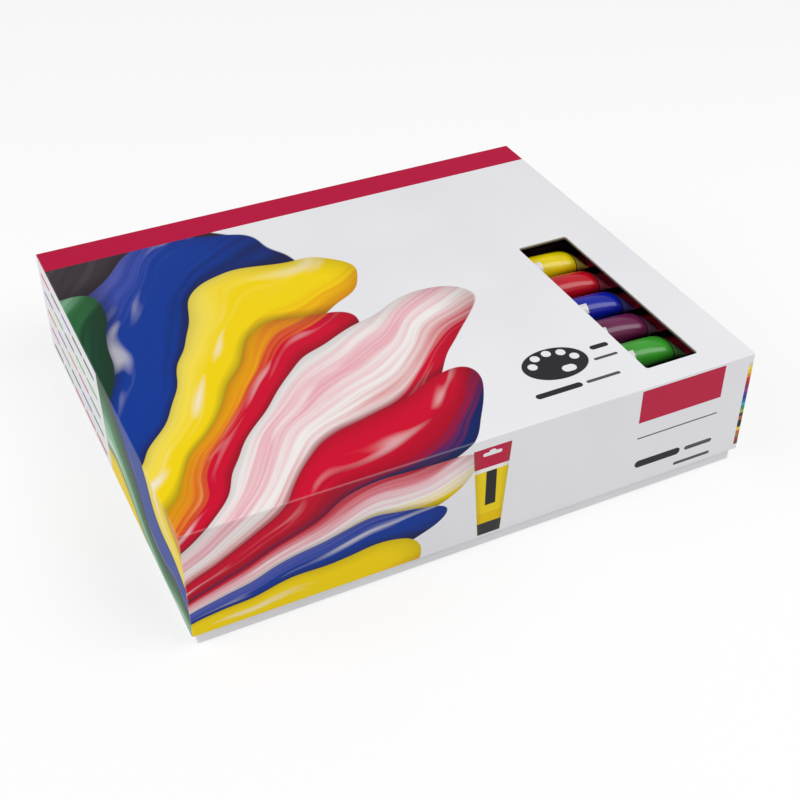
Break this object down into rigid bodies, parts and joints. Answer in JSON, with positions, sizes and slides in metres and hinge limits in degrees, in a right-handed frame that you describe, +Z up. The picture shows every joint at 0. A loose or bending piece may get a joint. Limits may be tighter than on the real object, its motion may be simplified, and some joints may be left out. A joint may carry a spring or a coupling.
{
  "type": "acrylic paint set",
  "caption": "Flat rigid cardboard box with a lift-off windowed lid, holding stacked moulded trays of screw-capped acrylic paint tubes.",
  "frame": {"origin": "underneath the middle of the lid's outline, on the surface that the box stands on", "axes": "+X along the long front, to the right; -Y towards the front; +Z up"},
  "size_m": [0.372, 0.31, 0.086],
  "materials": {
    "greyboard": "uncoated board, light grey core",
    "printed_paper": "white printed paper with a satin film",
    "white_paper": "plain white coated paper",
    "moulded_tray": "glossy black formed sheet",
    "screw_cap": "black moulded, fluted",
    "print_assorted": "glossy printed tube, one colour a tube",
    "print_yellow": "glossy printed tube",
    "print_red": "glossy printed tube",
    "print_blue": "glossy printed tube",
    "print_plum": "glossy printed tube",
    "print_green": "glossy printed tube",
    "print_orange": "glossy printed tube",
    "print_sky": "glossy printed tube",
    "print_ochre": "glossy printed tube",
    "print_pink": "glossy printed tube",
    "print_white": "glossy printed tube"
  },
  "bodies": {
    "base": {"base_board": "greyboard", "base_wrap": "white_paper", "base_underside_paper": "white_paper"},
    "tray_bottom": {"tray_bottom": "moulded_tray", "bottom_tubes_left": "print_assorted", "bottom_tubes_middle": "print_assorted", "bottom_tubes_right": "print_assorted", "bottom_caps": "screw_cap"},
    "tray_middle": {"tray_middle": "moulded_tray", "middle_tubes_left": "print_assorted", "middle_tubes_middle": "print_assorted", "middle_tubes_right": "print_assorted", "middle_caps": "screw_cap"},
    "tray_top": {"tray_top": "moulded_tray", "tube_left_01": "print_assorted", "tube_left_02": "print_assorted", "tube_left_03": "print_assorted", "tube_left_04": "print_assorted", "tube_left_05": "print_assorted", "tube_left_06": "print_assorted", "tube_left_07": "print_assorted", "tube_left_08": "print_assorted", "tube_left_09": "print_assorted", "tube_left_10": "print_assorted", "tube_middle_01": "print_assorted", "tube_middle_02": "print_assorted", "tube_middle_03": "print_assorted", "tube_middle_04": "print_assorted", "tube_middle_05": "print_assorted", "tube_middle_06": "print_assorted", "tube_middle_07": "print_assorted", "tube_middle_08": "print_assorted", "tube_middle_09": "print_assorted", "tube_middle_10": "print_assorted", "tube_yellow": "print_yellow", "tube_red": "print_red", "tube_blue": "print_blue", "tube_plum": "print_plum", "tube_green": "print_green", "tube_orange": "print_orange", "tube_sky": "print_sky", "tube_ochre": "print_ochre", "tube_pink": "print_pink", "tube_white": "print_white", "caps_left": "screw_cap", "caps_middle": "screw_cap"},
    "lid": {"lid_board": "greyboard", "lid_wrap": "printed_paper"},
    "cap_yellow": {"cap_yellow": "screw_cap"},
    "cap_red": {"cap_red": "screw_cap"},
    "cap_blue": {"cap_blue": "screw_cap"},
    "cap_plum": {"cap_plum": "screw_cap"},
    "cap_green": {"cap_green": "screw_cap"},
    "cap_orange": {"cap_orange": "screw_cap"},
    "cap_sky": {"cap_sky": "screw_cap"},
    "cap_ochre": {"cap_ochre": "screw_cap"},
    "cap_pink": {"cap_pink": "screw_cap"},
    "cap_white": {"cap_white": "screw_cap"}
  },
  "joints": [
    {"name": "tray_bottom_lift", "type": "slide", "parent": "base", "child": "tray_bottom", "axis": [0, 0, 1], "range_m": [0, 0.09]},
    {"name": "tray_middle_lift", "type": "slide", "parent": "tray_bottom", "child": "tray_middle", "axis": [0, 0, 1], "range_m": [0, 0.06]},
    {"name": "tray_top_lift", "type": "slide", "parent": "tray_middle", "child": "tray_top", "axis": [0, 0, 1], "range_m": [0, 0.06]},
    {"name": "lid_lift", "type": "slide", "parent": "tray_top", "child": "lid", "axis": [0, 0, 1], "range_m": [0, 0.09]},
    {"name": "cap_yellow_turn", "type": "hinge", "parent": "tray_top", "child": "cap_yellow", "pos_m": [0.077, 0.0089, 0.06985], "axis": [-1, 0, 0], "range_deg": [0, 720]},
    {"name": "cap_red_turn", "type": "hinge", "parent": "tray_top", "child": "cap_red", "pos_m": [0.077, -0.0199, 0.06985], "axis": [-1, 0, 0], "range_deg": [0, 720]},
    {"name": "cap_blue_turn", "type": "hinge", "parent": "tray_top", "child": "cap_blue", "pos_m": [0.077, -0.0487, 0.06985], "axis": [-1, 0, 0], "range_deg": [0, 720]},
    {"name": "cap_plum_turn", "type": "hinge", "parent": "tray_top", "child": "cap_plum", "pos_m": [0.077, -0.0775, 0.06985], "axis": [-1, 0, 0], "range_deg": [0, 720]},
    {"name": "cap_green_turn", "type": "hinge", "parent": "tray_top", "child": "cap_green", "pos_m": [0.077, -0.1063, 0.06985], "axis": [-1, 0, 0], "range_deg": [0, 720]},
    {"name": "cap_orange_turn", "type": "hinge", "parent": "tray_top", "child": "cap_orange", "pos_m": [0.0609, 0.036, 0.06985], "axis": [0, -1, 0], "range_deg": [0, 720]},
    {"name": "cap_sky_turn", "type": "hinge", "parent": "tray_top", "child": "cap_sky", "pos_m": [0.0861, 0.036, 0.06985], "axis": [0, -1, 0], "range_deg": [0, 720]},
    {"name": "cap_ochre_turn", "type": "hinge", "parent": "tray_top", "child": "cap_ochre", "pos_m": [0.1113, 0.036, 0.06985], "axis": [0, -1, 0], "range_deg": [0, 720]},
    {"name": "cap_pink_turn", "type": "hinge", "parent": "tray_top", "child": "cap_pink", "pos_m": [0.1365, 0.036, 0.06985], "axis": [0, -1, 0], "range_deg": [0, 720]},
    {"name": "cap_white_turn", "type": "hinge", "parent": "tray_top", "child": "cap_white", "pos_m": [0.1617, 0.036, 0.06985], "axis": [0, -1, 0], "range_deg": [0, 720]}
  ]
}
